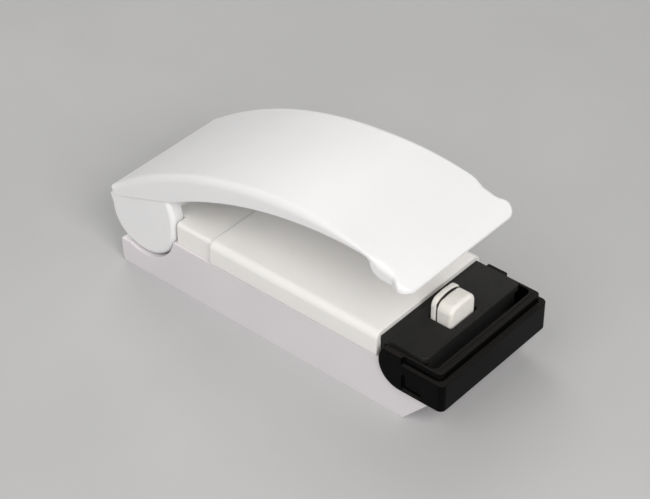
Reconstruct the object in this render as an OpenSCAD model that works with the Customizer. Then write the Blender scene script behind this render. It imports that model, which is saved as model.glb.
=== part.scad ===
// Hand-held battery bag sealer.
// A sprung arched lever presses the mouth of a bag onto a small heated block
// that stands out of the black head. Two AA cells lie side by side in the base.
//
// Lengths are in millimetres. X runs from the hinge end to the head, Y across,
// Z up. Side outlines are drawn in (station, height), where the station is
// counted from the rear of the base. The whole model is then moved so that its
// origin is the middle of its footprint, on the surface that it stands on.

/* [Body] */
// Width of the base and of the top cover
body_w = 38; // [37.6:0.1:38.6]
// Height of the seam between the base and the covers
seam_z = 14; // [13.7:0.1:14.3]
// Height of the top cover
cover_z = 20.3; // [20:0.1:20.8]
// Wall of the white mouldings
wall = 1.6; // [1.4:0.1:1.8]
// Station where the rear block meets the top cover
cover_start = 29; // [28:0.5:31]
// Station where the black head begins
head_start = 80; // [79.8:0.1:80.2]
// Radius of the cover's top edges
cover_edge_r = 1.4; // [0.8:0.1:1.5]

/* [Lever] */
// Station of the lever's pin
pivot_x = 6.8; // [6.6:0.1:7]
// Height of the lever's pin
pivot_z = 16.3; // [16.2:0.1:16.5]
// Radius of the round ears about the pin
ear_r = 10.3; // [10.1:0.1:10.4]
// Thickness of one ear
ear_t = 4; // [3.8:0.1:4.2]
// Station of the top of the arch
apex_x = 60; // [58:0.5:61]
// Height of the top of the arch
apex_z = 43.3; // [43:0.1:43.8]
// Radius of the arch behind its top
arch_rear_r = 102; // [101:1:103]
// Radius of the arch in front of its top
arch_front_r = 74; // [73:1:76]
// Wall of the lever
lever_wall = 1.8; // [1.6:0.1:2]
// Width across the lip at the lever's nose
lip_w = 40.4; // [40:0.2:40.6]
// Angle through which the lever closes
close_angle = 8.2; // [8:0.1:8.3]

/* [Head and guard] */
// Height of the black plate
plate_z = 19.15; // [19:0.05:19.3]
// Station of the plate's front edge
plate_front = 92.9; // [92.6:0.1:93.1]
// Station of the guard's front face
guard_front = 99.2; // [98.9:0.1:99.6]
// Height of the guard's rim
guard_top = 18.1; // [18:0.05:18.2]
// Height of the guard's lower edge
guard_bottom = 8.3; // [8.2:0.1:8.5]
// Radius of the guard's round rear end
guard_end_r = 6.1; // [5.9:0.1:6.2]

/* [Heater] */
// Sideways place of the heated block
heater_y = -0.8; // [-1.2:0.1:0]
// Width of the heated block
heater_w = 9; // [8.6:0.2:9.2]
// Height of the middle of the block's rounded top
heater_z = 24.7; // [24.5:0.1:24.8]
// How far the block sinks when it is pressed
heater_travel = 1; // [0.8:0.1:1.1]

/* [Battery] */
// Radius of an AA cell
cell_r = 7.1; // [6.9:0.05:7.15]
// Length of an AA cell with its cap
cell_len = 50.5; // [49.5:0.1:50.5]

/* [Hidden] */
$fn = 96;
eps = 0.01;
// rear of the lever and the middle of the whole footprint
lever_rear_x = pivot_x - ear_r - 0.1;
middle_x = (lever_rear_x + guard_front) / 2;
half_w = body_w / 2;
gap = 0.3;

// lever
skirt_r = 109;
skirt_apex_x = 72;
skirt_apex_z = apex_z - 2.6;
ear_front_x = pivot_x + 10.1;
nose_rear_x = 77.2;
nose_corner_r = 3.8;
nose_bottom_z = 36.1;
nose_front_x = 89;
nose_plan_r = 2.2;
flare_x = 84.7;
flare_len = 1.2;
pad_rear_x = 80.2;
pad_root_x = 84.4;
pad_front_x = 87.9;
pad_half = 9;
ear_in = half_w - ear_t;
rear_wall_end = 225;

// pins
pin_r = 2;
pin_bore_r = 2.02;
pin_run_r = 2.06;
pin_half = ear_in + 2.3;

// base
base_rear_x = -0.7;
base_toe_x = 87.9;
prow_x = 95;
prow_z = guard_bottom - gap;
scoop_r = ear_r + 0.4;
rail_z = 2.4;
shelf_low_z = 2;
shelf_z = 4.1;

// rear block
knuckle_half = ear_in - 0.3;
knuckle_r = 8.1;
block_x = 18;
block_half = half_w - 0.8;
block_z = cover_z - 0.4;

// head
guard_x = 87.2;
guard_z = 14.5;
plate_half = half_w - 1.35;
plate_t = 1.5;
head_half = 16;
head_rear_x = head_start + 0.9;
head_front_x = plate_front - 0.5;
guard_pin_r = 1.5;
guard_bore_r = 1.55;
guard_in = plate_half + 0.25;
guard_half = half_w + 0.7;
rim_half = half_w - 0.3;
rim_front_x = guard_front - 1.4;
rim_in_x = 95.6;
bar_in_x = 96;
step_z = 16;
step_x = 87.6;
boss_in = head_half + 0.25;
boss_r = 2.9;

// heater
heater_rear_x = 84.3;
slot_rear_x = 85.7;
slot_front_x = 86.1;
heater_front_x = 90.3;
heater_mid_x = (heater_rear_x + heater_front_x) / 2;
heater_side_z = heater_z - 1.5;
heater_rise = heater_z - heater_side_z;
heater_top_r = (pow(heater_w / 2, 2) + pow(heater_rise, 2)) / (2 * heater_rise);
carrier_seat_z = 15;
carrier_top_z = plate_z - plate_t - 0.1;
carrier_low_z = 14.2;
spring_floor_z = 7.3;
spring_top_z = carrier_low_z - 1.6;
press_spring_r = 2.4;
leaf_wide = 3;

// battery bay
bay_rear_x = 18.4;
bay_front_x = 75.2;
leaf_t = 0.4;
cell_y = cell_r + 0.25;
cell_z = 9.2;
cap_r = 2.6;
cap_len = 1.3;
leaf_end_z = seam_z - 0.8;
door_z = 0.3;
door_t = 1.4;
door_half = 13.8;
door_tongue = 0.9;
door_front_x = 76;
door_fit = 0.15;

// lever spring
spring_x = 23;
spring_r = 3.1;
spring_wire_r = 0.4;
spring_seat_z = block_z - 1;

// screws: station, distance from the middle and height of the head's face
front_screw = [84.2, 11, 0.3];
rear_screw = [11.5, 9, 1.9];
screw_r = 0.85;
screw_head_r = 2.2;
screw_head_t = 1.3;

white = [0.93, 0.93, 0.95];
black = [0.09, 0.09, 0.1];
cream = [0.95, 0.93, 0.88];
steel = [0.75, 0.76, 0.78];
brass_colour = [0.83, 0.68, 0.33];

// ---- helpers ----

// height of the lever's arch at a station
function arch_r(x) = x < apex_x ? arch_rear_r : arch_front_r;
function arch_height(x) = apex_z - arch_r(x) + sqrt(pow(arch_r(x), 2) - pow(x - apex_x, 2));

// height of the pressing face, so that it lies flat on the block when closed
pressed_z = heater_z - heater_travel + 0.05;
function pad_height(x) =
    pivot_z + (pressed_z - pivot_z + (x - pivot_x) * sin(close_angle)) / cos(close_angle);

// moves the model from stations to its own origin
module at_origin() {
    translate([-middle_x, 0, 0])
        children();
}

// extrudes a side outline over both sides of the middle plane
module across(half) {
    rotate([90, 0, 0])
        linear_extrude(height = 2 * half, center = true)
            children();
}

// extrudes a side outline between two places across the width
module between(y0, y1) {
    translate([0, y1, 0])
        rotate([90, 0, 0])
            linear_extrude(height = y1 - y0)
                children();
}

// repeats a far-side shape on the near side
module both_sides() {
    children();
    mirror([0, 1, 0])
        children();
}

// box from its low and high corners
module span(low, high) {
    translate(low)
        cube(high - low);
}

// cylinder across the width
module rod(x, z, y0, y1, r) {
    translate([x, y1, z])
        rotate([90, 0, 0])
            cylinder(r = r, h = y1 - y0);
}

// round wire swept along a list of points
module wire(path, r, sides) {
    last = len(path) - 1;
    function way(i) = path[min(i + 1, last)] - path[max(i - 1, 0)];
    function unit(v) = v / norm(v);
    function side_of(d) = unit(cross(d, abs(d[2]) > 0.9 * norm(d) ? [0, 1, 0] : [0, 0, 1]));
    points = [
        for (i = [0:last])
            let (d = unit(way(i)), u = side_of(d), v = cross(u, d))
                for (k = [0:sides - 1])
                    path[i] + r * (cos(360 * k / sides) * u + sin(360 * k / sides) * v)
    ];
    walls = [
        for (i = [0:last - 1], k = [0:sides - 1])
            let (a = i * sides + k, b = i * sides + (k + 1) % sides)
                [a, b, b + sides, a + sides]
    ];
    start = [[for (k = [sides - 1:-1:0]) k]];
    finish = [[for (k = [0:sides - 1]) last * sides + k]];
    polyhedron(points = points, faces = concat(start, walls, finish), convexity = 6);
}

// open coil standing on z = 0, its radius changing from foot to top
module coil(foot_r, top_r, height, turns, wire_r) {
    steps_a_turn = 16;
    steps = turns * steps_a_turn;
    path = [
        for (i = [0:steps])
            let (t = i / steps, a = 360 * turns * t, r = foot_r + (top_r - foot_r) * t)
                [r * cos(a), r * sin(a), wire_r + (height - 2 * wire_r) * t]
    ];
    wire(path, wire_r, 6);
}

// ---- base and covers ----

module base_outline(inset) {
    difference() {
        polygon([
            [0.2 + inset, inset],
            [base_toe_x - inset * 0.6, inset],
            [prow_x - inset * 1.5, prow_z],
            [prow_x - inset * 1.5, seam_z],
            [base_rear_x + inset, seam_z],
            [base_rear_x + inset, 5.8],
            [-0.5 + inset, 1.5 + inset]
        ]);
        translate([guard_x, guard_z])
            circle(r = guard_end_r + 0.4 + inset);
        translate([guard_x, prow_z - inset])
            square([20, 20]);
        translate([pivot_x, pivot_z])
            circle(r = scoop_r + inset);
        translate([-10, 6.6 - inset])
            square([pivot_x + 10, 20]);
    }
}

module base_shell() {
    mouth_half = door_half + door_fit;
    groove_half = mouth_half + door_tongue;
    color(white)
        difference() {
            union() {
                base_tub();
                base_rails();
                base_shelf();
                base_bosses();
                ear_seats();
            }
            // battery door's mouth and the grooves that it slides in
            span([-5, -mouth_half, -1], [door_front_x, mouth_half, door_z + door_t + door_fit]);
            span([-5, -groove_half, door_z + 0.3], [door_front_x, groove_half, door_z + 1.2]);
            for (place = [front_screw, rear_screw])
                screw_hole(place);
        }
}

// open tub between the two side walls
module base_tub() {
    inner = half_w - wall;
    difference() {
        across(half_w)
            base_outline(0);
        across(inner)
            base_outline(wall);
        span([block_x - 1, -inner, 10], [head_start - 1, inner, 20]);
        span([2, -knuckle_half - 0.1, 3], [block_x, knuckle_half + 0.1, 20]);
        span([head_rear_x + 0.5, 1 - head_half, 5], [head_front_x - 0.8, head_half - 1, 20]);
    }
}

// walls at the ends of the battery bay, and the rails beside the door
module base_rails() {
    inner = half_w - wall + 0.1;
    for (x = [bay_rear_x - 1, bay_front_x + leaf_t])
        span([x, -inner, shelf_low_z], [x + 1, inner, leaf_end_z]);
    both_sides()
        span([0, door_half - eps, 0], [door_front_x + 1, inner, rail_z]);
}

// shelf over the rear of the door, which carries the rear block
module base_shelf() {
    inner = half_w - wall + 0.1;
    span([0.5, -inner, shelf_low_z], [bay_rear_x - 0.5, inner, shelf_z]);
}

// posts for the screws into the head
module base_bosses() {
    both_sides()
        translate([front_screw[0], front_screw[1], 0])
            cylinder(r = 2.9, h = prow_z);
}

// curved seats below the ears
module ear_seats() {
    both_sides()
        between(ear_in - 0.1, half_w - wall + 0.1)
            intersection() {
                difference() {
                    translate([pivot_x, pivot_z])
                        circle(r = scoop_r + 1.2);
                    translate([pivot_x, pivot_z])
                        circle(r = scoop_r);
                }
                translate([2.2, shelf_z - 0.2])
                    square([15.4, 9.9]);
            }
}

// clearance for a screw and its sunk head on both sides
module screw_hole(place) {
    both_sides()
        translate([place[0], place[1], -1]) {
            cylinder(r = screw_r + 0.3, h = 12);
            cylinder(r = screw_head_r + 0.3, h = place[2] + screw_head_t + 1.05);
        }
}

module rear_block() {
    inner = knuckle_half - 2;
    color(white)
        difference() {
            union() {
                difference() {
                    rear_block_outside();
                    across(inner)
                        knuckle_outline(1.8);
                    span([block_x + wall, wall - block_half, 10],
                        [cover_start + 1, block_half - wall, block_z - 1.9]);
                    span([12, -inner, 10], [cover_start + 1, inner, block_z - 1.9]);
                }
                // posts for the rear screws
                both_sides()
                    translate([rear_screw[0], rear_screw[1], shelf_z + 0.05])
                        cylinder(r = 2.2, h = block_z - shelf_z - 0.5);
            }
            rod(pivot_x, pivot_z, -20, 20, pin_bore_r);
            both_sides()
                translate([rear_screw[0], rear_screw[1], 0])
                    cylinder(r = screw_r, h = 11);
            // seat of the lever's spring
            translate([spring_x, 0, spring_seat_z])
                cylinder(r = spring_r + 0.9, h = 5);
        }
}

module rear_block_outside() {
    across(knuckle_half)
        knuckle_outline(0);
    translate([block_x, 0, 0])
        rotate([90, 0, 90])
            linear_extrude(height = cover_start - block_x)
                cover_section(block_half, block_z, 1);
}

// the part of the rear block that carries the pin, seen from the side
module knuckle_outline(inset) {
    translate([pivot_x, pivot_z])
        circle(r = knuckle_r - inset);
    foot = shelf_z + 0.1;
    translate([2.2 + inset, foot - inset])
        square([14.7 - 2 * inset, 4.6]);
    translate([pivot_x, foot - inset])
        square([16.9 - pivot_x - inset, pivot_z - foot]);
    translate([pivot_x, pivot_z - 3])
        square([block_x + 1 - pivot_x - inset, block_z - pivot_z + 3 - inset]);
}

// cross section of a cover with round top edges
module cover_section(half, top, r) {
    translate([-half, seam_z])
        square([2 * half, top - r - seam_z]);
    translate([-half + r, seam_z])
        square([2 * (half - r), top - seam_z]);
    for (y = [-half + r, half - r])
        translate([y, top - r])
            circle(r = r);
}

module top_cover() {
    color(white)
        difference() {
            translate([cover_start + 0.12, 0, 0])
                rotate([90, 0, 90])
                    linear_extrude(height = head_start - cover_start - 0.12)
                        cover_section(half_w, cover_z, cover_edge_r);
            span([cover_start - 1, wall - half_w, seam_z - 1],
                [head_start - wall, half_w - wall, cover_z - wall]);
            // way for the leads into the head
            span([head_start - 5, -8, seam_z - 1], [head_start + 1, 8, seam_z + 2.4]);
        }
}

// ---- head ----

module head_plate() {
    color(black)
        difference() {
            union() {
                translate([0, 0, plate_z - plate_t])
                    linear_extrude(height = plate_t)
                        plate_plan();
                // short side walls behind the guard's arms
                both_sides()
                    span([head_start + 0.05, plate_half - 1.2, seam_z + 0.1], [81.4, plate_half, plate_z - 1]);
            }
            span([heater_rear_x - 0.5, heater_y - heater_w / 2 - 0.5, 10],
                [heater_front_x + 0.5, heater_y + heater_w / 2 + 0.5, 30]);
        }
}

module plate_plan() {
    r = 1.5;
    translate([head_start + 0.05, -plate_half])
        square([plate_front - head_start - 0.05 - r, 2 * plate_half]);
    translate([head_start + 0.05, r - plate_half])
        square([plate_front - head_start - 0.05, 2 * (plate_half - r)]);
    for (y = [r - plate_half, plate_half - r])
        translate([plate_front - r, y])
            circle(r = r);
}

module head_body() {
    wide = 7.4;
    color(black)
        difference() {
            union() {
                across(head_half)
                    head_outline();
                // well that holds the heater's spring
                translate([heater_mid_x, heater_y, spring_floor_z - 1.2])
                    cylinder(r = press_spring_r + 1.5, h = 4);
            }
            span([heater_rear_x - 0.9, heater_y - wide, 11.2],
                [heater_front_x + 0.9, heater_y + wide, 30]);
            translate([heater_mid_x, heater_y, spring_floor_z])
                cylinder(r = press_spring_r + 0.6, h = 30);
            // room for the switch leaves
            span([heater_mid_x - leaf_wide / 2 - 0.2, heater_y + wide - 1, 9.4],
                [heater_mid_x + leaf_wide / 2 + 0.2, 11.6, 30]);
            // pins and screws
            rod(guard_x, guard_z, -20, 20, guard_pin_r + 0.01);
            both_sides()
                translate([front_screw[0], front_screw[1], 0])
                    cylinder(r = screw_r, h = 9.2);
        }
}

module head_outline() {
    intersection() {
        translate([head_rear_x, prow_z + 0.05])
            square([head_front_x - head_rear_x, plate_z - plate_t - prow_z - 0.1]);
        union() {
            translate([guard_x, guard_z])
                circle(r = guard_end_r + 0.2);
            translate([guard_x, 0])
                square([20, 30]);
            translate([head_rear_x, guard_z])
                square([20, 30]);
        }
    }
}

// ---- guard ----

module guard() {
    color(black)
        difference() {
            intersection() {
                across(30)
                    guard_outline();
                guard_plan_solid();
            }
            // finger recess on each side
            both_sides()
                span([step_x, guard_half - 0.65, guard_bottom + 0.4], [step_x + 5.6, 30, 13.6]);
            both_sides()
                rod(guard_x, guard_z, 0, guard_half - 0.7, guard_bore_r);
        }
}

module guard_outline() {
    intersection() {
        translate([guard_x - 8, guard_bottom - 1])
            square([guard_front - guard_x + 8, guard_top - guard_bottom + 1]);
        union() {
            translate([guard_x, guard_z])
                circle(r = guard_end_r);
            translate([guard_x, guard_z - guard_end_r])
                square([20, 20]);
        }
    }
}

// U shape seen from above, in an upper rim and a wider lower part
module guard_plan_solid() {
    difference() {
        union() {
            linear_extrude(height = step_z)
                guard_plan(guard_half, guard_front, 1.4);
            linear_extrude(height = guard_top + 1)
                guard_plan(rim_half, rim_front_x, 1.2);
            linear_extrude(height = guard_top + 1)
                translate([guard_x - 10, -guard_half])
                    square([step_x - guard_x + 10, 2 * guard_half]);
        }
        translate([0, 0, -1])
            linear_extrude(height = 40)
                guard_plan(guard_in, rim_in_x, 1.5);
        translate([0, 0, -1])
            linear_extrude(height = step_z)
                guard_plan(guard_in, bar_in_x, 1.5);
    }
    // bosses that turn on the pins
    both_sides()
        difference() {
            rod(guard_x, guard_z, boss_in, guard_in + 0.2, boss_r);
            rod(guard_x, guard_z, 0, 30, guard_bore_r);
        }
}

module guard_plan(half, front, r) {
    back = guard_x - 10;
    translate([back, -half])
        square([front - back - r, 2 * half]);
    translate([back, r - half])
        square([front - back, 2 * (half - r)]);
    for (y = [r - half, half - r])
        translate([front - r, y])
            circle(r = r);
}

module guard_pins() {
    color(steel)
        both_sides()
            rod(guard_x, guard_z, head_half - 3, guard_half - 0.9, guard_pin_r);
}

// ---- lever ----

// everything below the arch, lowered by drop
module under_arch(drop) {
    intersection() {
        translate([apex_x, apex_z - arch_rear_r])
            circle(r = arch_rear_r - drop, $fn = 360);
        translate([-40, -60])
            square([40 + apex_x, 160]);
    }
    intersection() {
        translate([apex_x, apex_z - arch_front_r])
            circle(r = arch_front_r - drop, $fn = 360);
        translate([apex_x, -60])
            square([60, 160]);
    }
}

module lever_outline() {
    intersection() {
        under_arch(0);
        union() {
            translate([pivot_x, pivot_z])
                circle(r = ear_r);
            translate([lever_rear_x, pivot_z])
                square([ear_front_x - lever_rear_x, 40]);
            difference() {
                translate([ear_front_x - 1, 22])
                    square([nose_rear_x + 1 - ear_front_x + 1, 40]);
                translate([skirt_apex_x, skirt_apex_z - skirt_r])
                    circle(r = skirt_r, $fn = 360);
            }
            nose_outline(nose_front_x + 1);
        }
    }
}

module nose_outline(front) {
    translate([nose_rear_x + nose_corner_r, nose_bottom_z + nose_corner_r])
        circle(r = nose_corner_r);
    translate([nose_rear_x, nose_bottom_z + nose_corner_r])
        square([front - nose_rear_x, 20]);
    translate([nose_rear_x + nose_corner_r, nose_bottom_z])
        square([front - nose_rear_x - nose_corner_r, 20]);
}

// the hollow between the ears, which leaves the curved rear wall
module ear_hollow() {
    reach = 40;
    intersection() {
        under_arch(lever_wall);
        union() {
            translate([pivot_x, pivot_z])
                circle(r = ear_r - lever_wall);
            translate([lever_rear_x + lever_wall, pivot_z])
                square([40, 60]);
            polygon([
                [pivot_x, pivot_z],
                [pivot_x + reach * cos(rear_wall_end), pivot_z + reach * sin(rear_wall_end)],
                [pivot_x + reach, pivot_z - reach],
                [pivot_x + reach, pivot_z]
            ]);
        }
    }
}

module lever_shell() {
    color(white)
        difference() {
            intersection() {
                across(30)
                    lever_outline();
                lever_plan_solid();
            }
            difference() {
                lever_hollow();
                // spigot that holds the spring's top
                translate([spring_x, 0, arch_height(spring_x) - lever_wall - 2.2])
                    cylinder(r = spring_r - 0.7, h = 30);
            }
            rod(pivot_x, pivot_z, -pin_half - 0.3, pin_half + 0.3, pin_run_r);
        }
}

module lever_hollow() {
    across(ear_in)
        intersection() {
            ear_hollow();
            translate([lever_rear_x, -20])
                square([ear_front_x + 1 - lever_rear_x, 80]);
        }
    across(half_w - lever_wall)
        intersection() {
            under_arch(lever_wall);
            translate([ear_front_x, 0])
                square([nose_front_x - lever_wall - ear_front_x, 60]);
        }
}

// the lever seen from above, with the lip that flares out at its nose
module lever_plan_solid() {
    linear_extrude(height = 60) {
        translate([-20, -half_w])
            square([20 + nose_front_x - nose_plan_r, 2 * half_w]);
        translate([-20, nose_plan_r - lip_w / 2])
            square([20 + nose_front_x, lip_w - 2 * nose_plan_r]);
        polygon([
            [flare_x, -half_w],
            [flare_x + flare_len, -lip_w / 2],
            [nose_front_x - nose_plan_r, -lip_w / 2],
            [nose_front_x - nose_plan_r, lip_w / 2],
            [flare_x + flare_len, lip_w / 2],
            [flare_x, half_w]
        ]);
        for (y = [nose_plan_r - lip_w / 2, lip_w / 2 - nose_plan_r])
            translate([nose_front_x - nose_plan_r, y])
                circle(r = nose_plan_r);
    }
}

module pad_holder() {
    half = half_w - lever_wall - 0.1;
    color(white)
        difference() {
            span([nose_rear_x + 2.2, -half, nose_bottom_z + 0.2],
                [pad_root_x + 0.3, half, nose_bottom_z + 1]);
            span([pad_rear_x, -pad_half - 0.05, nose_bottom_z - 1],
                [pad_root_x, pad_half + 0.05, nose_bottom_z + 0.6]);
        }
}

// soft strip whose face lies flat on the block when the lever is closed
module press_pad() {
    color([0.75, 0.76, 0.76])
        across(pad_half)
            polygon([
                [pad_rear_x + 0.05, pad_height(pad_rear_x)],
                [pad_front_x, pad_height(pad_front_x)],
                [pad_front_x, nose_bottom_z],
                [pad_root_x - 0.05, nose_bottom_z],
                [pad_root_x - 0.05, nose_bottom_z + 0.6],
                [pad_rear_x + 0.05, nose_bottom_z + 0.6]
            ]);
}

module lever_pin() {
    color(steel)
        rod(pivot_x, pivot_z, -pin_half, pin_half, pin_r);
}

module lever_spring() {
    color(steel)
        translate([spring_x, 0, spring_seat_z])
            coil(spring_r, spring_r, arch_height(spring_x) - lever_wall - spring_seat_z - 0.35, 6, spring_wire_r);
}

// ---- heater ----

// the block's outline across the width, with its round top
module cheek_section() {
    intersection() {
        translate([heater_y - heater_w / 2, carrier_seat_z])
            square([heater_w, heater_z - carrier_seat_z]);
        translate([heater_y, heater_z - heater_top_r])
            circle(r = heater_top_r);
    }
    translate([heater_y - heater_w / 2, carrier_seat_z])
        square([heater_w, 4]);
}

module cheek(x0, x1) {
    color(cream)
        translate([x0, 0, 0])
            rotate([90, 0, 90])
                linear_extrude(height = x1 - x0)
                    cheek_section();
}

module heater_front_cheek() {
    cheek(slot_front_x, heater_front_x);
}

module heater_rear_cheek() {
    cheek(heater_rear_x, slot_rear_x);
}

// flat heating ribbon that stands on edge in the slot
module heater_ribbon() {
    color(steel)
        translate([slot_rear_x + 0.1, 0, 0])
            rotate([90, 0, 90])
                linear_extrude(height = 0.2)
                    intersection() {
                        translate([heater_y - heater_w / 2 + 0.3, carrier_seat_z])
                            square([heater_w - 0.6, 12]);
                        translate([heater_y, heater_z - heater_top_r - 0.25])
                            circle(r = heater_top_r);
                    }
}

module heater_carrier() {
    low = [heater_rear_x - 0.6, heater_y - 7.1, carrier_low_z];
    high = [heater_front_x + 0.6, heater_y + 7.1, carrier_top_z];
    color([0.35, 0.3, 0.26])
        difference() {
            union() {
                span(low, high);
                translate([heater_mid_x, heater_y, spring_top_z])
                    cylinder(r = 3.7, h = carrier_low_z - spring_top_z + 0.5);
            }
            span([heater_rear_x, heater_y - heater_w / 2, carrier_seat_z],
                [heater_front_x, heater_y + heater_w / 2, 30]);
            // room for the terminals
            both_sides_of_heater()
                span([slot_rear_x - 0.3, heater_w / 2 - eps, carrier_seat_z], [slot_front_x + 0.9, 6.2, 30]);
        }
}

module both_sides_of_heater() {
    translate([0, heater_y, 0])
        both_sides()
            children();
}

// tabs that grip the ends of the ribbon
module heater_terminals() {
    color(brass_colour)
        both_sides_of_heater() {
            span([slot_rear_x, heater_w / 2, carrier_seat_z], [slot_rear_x + leaf_t, 5.6, carrier_top_z - 0.4]);
            span([slot_rear_x, 5.2, carrier_seat_z], [slot_front_x + 0.8, 5.6, carrier_top_z - 0.4]);
        }
}

module heater_spring() {
    color(steel)
        translate([heater_mid_x, heater_y, spring_floor_z])
            coil(press_spring_r, press_spring_r, spring_top_z - spring_floor_z, 4, 0.3);
}

// strip under the carrier that comes down onto the fixed one
module switch_moving_leaf() {
    color(brass_colour)
        span([heater_mid_x - leaf_wide / 2, heater_y + 3.9, carrier_low_z - leaf_t],
            [heater_mid_x + leaf_wide / 2, heater_y + 7, carrier_low_z]);
}

module switch_fixed_leaf() {
    z = carrier_low_z - leaf_t - heater_travel - 0.05;
    rear = heater_mid_x - leaf_wide / 2;
    front = heater_mid_x + leaf_wide / 2;
    color(brass_colour) {
        span([rear, heater_y + 4.6, z - leaf_t], [front, 11.2, z]);
        span([rear, 10.8, 9.4], [front, 11.2, z]);
    }
}

// ---- battery ----

// cell lying along X with its cap forward, its flat end at x = 0
module cell() {
    rotate([0, 90, 0]) {
        color([0.2, 0.3, 0.38])
            cylinder(r = cell_r, h = cell_len - cap_len - 0.6);
        color(steel) {
            translate([0, 0, cell_len - cap_len - 0.6])
                cylinder(r = cell_r - 1, h = 0.6);
            translate([0, 0, cell_len - cap_len])
                cylinder(r = cap_r, h = cap_len);
        }
    }
}

module battery_cell_near() {
    translate([bay_front_x - cell_len, -cell_y, cell_z])
        cell();
}

module battery_cell_far() {
    translate([bay_rear_x + leaf_t + cell_len, cell_y, cell_z])
        mirror([1, 0, 0])
            cell();
}

module contact_plate(x, y0, y1) {
    span([x, y0, shelf_z], [x + leaf_t, y1, leaf_end_z]);
}

module negative_contact() {
    x = bay_rear_x + leaf_t;
    color(steel) {
        contact_plate(bay_rear_x, -13.5, -1.5);
        translate([x - 0.1, -cell_y, cell_z])
            rotate([0, 90, 0])
                coil(4.6, 2.9, bay_front_x - cell_len - x + 0.05, 3, 0.4);
    }
}

module positive_contact() {
    color(steel)
        contact_plate(bay_rear_x, 1.5, 13.5);
}

module bridge_contact() {
    foot = bay_front_x;
    color(steel) {
        contact_plate(bay_front_x, -13.5, 13.5);
        translate([foot + 0.1, cell_y, cell_z])
            mirror([1, 0, 0])
                rotate([0, 90, 0])
                    coil(4.6, 2.9, foot - bay_rear_x - leaf_t - cell_len + 0.05, 3, 0.4);
    }
}

// leads from the rear contacts, over the cells, to the head
module lead_wires() {
    lead_r = 0.55;
    high_z = 16.4;
    end_z = 15.2;
    foot_x = bay_rear_x + leaf_t / 2;
    way = [
        [foot_x, 3, leaf_end_z], [foot_x, 3, 14.4], [foot_x + 0.6, 2.6, 15.6],
        [foot_x + 3, 1.6, high_z], [foot_x + 8, 0.8, high_z], [66, 0.8, high_z],
        [72, 1.8, high_z], [76, 4, end_z + 0.4], [78, 5, end_z], [head_rear_x - 0.05, 5, end_z]
    ];
    color([0.65, 0.1, 0.1])
        wire(way, lead_r, 8);
    color([0.15, 0.15, 0.16])
        mirror([0, 1, 0])
            wire(way, lead_r, 8);
}

module battery_door() {
    grip_pitch = 2.4;
    rear = 0.1;
    front = door_front_x - door_fit;
    color(white)
        difference() {
            union() {
                span([rear, -door_half, door_z], [front, door_half, door_z + door_t]);
                span([rear + 2, -door_half - door_tongue, door_z + 0.4],
                    [front, door_half + door_tongue, door_z + 1.1]);
            }
            // grooves for the thumb
            for (i = [0:5])
                span([22 + i * grip_pitch, -7, door_z - 1], [23.2 + i * grip_pitch, 7, door_z + 0.5]);
        }
}

// cross-head screw standing on its head
module screw(length) {
    difference() {
        union() {
            cylinder(r = screw_head_r, h = screw_head_t);
            cylinder(r = screw_r, h = length);
        }
        for (turn = [0, 90])
            rotate([0, 0, turn])
                translate([-1.4, -0.25, -1])
                    cube([2.8, 0.5, 1.6]);
    }
}

module housing_screws() {
    color(steel)
        for (place = [front_screw, rear_screw])
            both_sides()
                translate(place)
                    screw(8.6);
}

at_origin() base_shell();
at_origin() rear_block();
at_origin() top_cover();
at_origin() head_plate();
at_origin() head_body();
at_origin() lever_shell();
at_origin() pad_holder();
at_origin() press_pad();
at_origin() lever_pin();
at_origin() lever_spring();
at_origin() guard();
at_origin() guard_pins();
at_origin() heater_front_cheek();
at_origin() heater_rear_cheek();
at_origin() heater_ribbon();
at_origin() heater_carrier();
at_origin() heater_terminals();
at_origin() heater_spring();
at_origin() switch_moving_leaf();
at_origin() switch_fixed_leaf();
at_origin() battery_cell_near();
at_origin() battery_cell_far();
at_origin() negative_contact();
at_origin() positive_contact();
at_origin() bridge_contact();
at_origin() lead_wires();
at_origin() battery_door();
at_origin() housing_screws();
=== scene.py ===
"""Looks of the hand-held bag sealer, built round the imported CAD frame.

Shapes are modelled in millimetres. The station is the distance along X from the
rear of the base, Y runs across and Z up. deliver() moves a finished mesh into
the frame, in metres.
"""
import math

import bmesh
import bpy
from mathutils import Matrix, Vector


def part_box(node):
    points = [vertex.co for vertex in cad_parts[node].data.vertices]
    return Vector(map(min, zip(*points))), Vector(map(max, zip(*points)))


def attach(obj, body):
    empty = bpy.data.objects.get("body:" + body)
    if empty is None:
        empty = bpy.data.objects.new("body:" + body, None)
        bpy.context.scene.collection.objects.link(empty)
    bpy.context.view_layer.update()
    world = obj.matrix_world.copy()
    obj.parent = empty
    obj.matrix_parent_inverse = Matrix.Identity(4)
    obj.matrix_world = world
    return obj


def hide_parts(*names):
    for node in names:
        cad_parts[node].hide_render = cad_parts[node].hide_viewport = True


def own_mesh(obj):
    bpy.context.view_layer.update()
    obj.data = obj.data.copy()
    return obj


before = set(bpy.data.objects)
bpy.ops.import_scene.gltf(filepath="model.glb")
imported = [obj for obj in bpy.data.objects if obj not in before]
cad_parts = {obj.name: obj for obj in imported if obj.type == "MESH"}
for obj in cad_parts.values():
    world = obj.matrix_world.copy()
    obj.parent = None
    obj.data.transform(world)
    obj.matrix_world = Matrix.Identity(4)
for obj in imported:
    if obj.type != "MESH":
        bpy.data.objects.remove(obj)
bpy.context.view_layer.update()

MM = 0.001
# station 0 lies 0.7 mm in front of the base's rear edge
ZERO_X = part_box("base_shell")[0].x + 0.7 * MM
TO_FRAME = Matrix.Translation((ZERO_X, 0, 0)) @ Matrix.Scale(MM, 4)


def in_frame(station, y, z):
    """A point in the frame, in metres."""
    return TO_FRAME @ Vector((station, y, z))


def top_of(node):
    """Height of a CAD node's top, in millimetres."""
    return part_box(node)[1].z / MM


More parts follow.
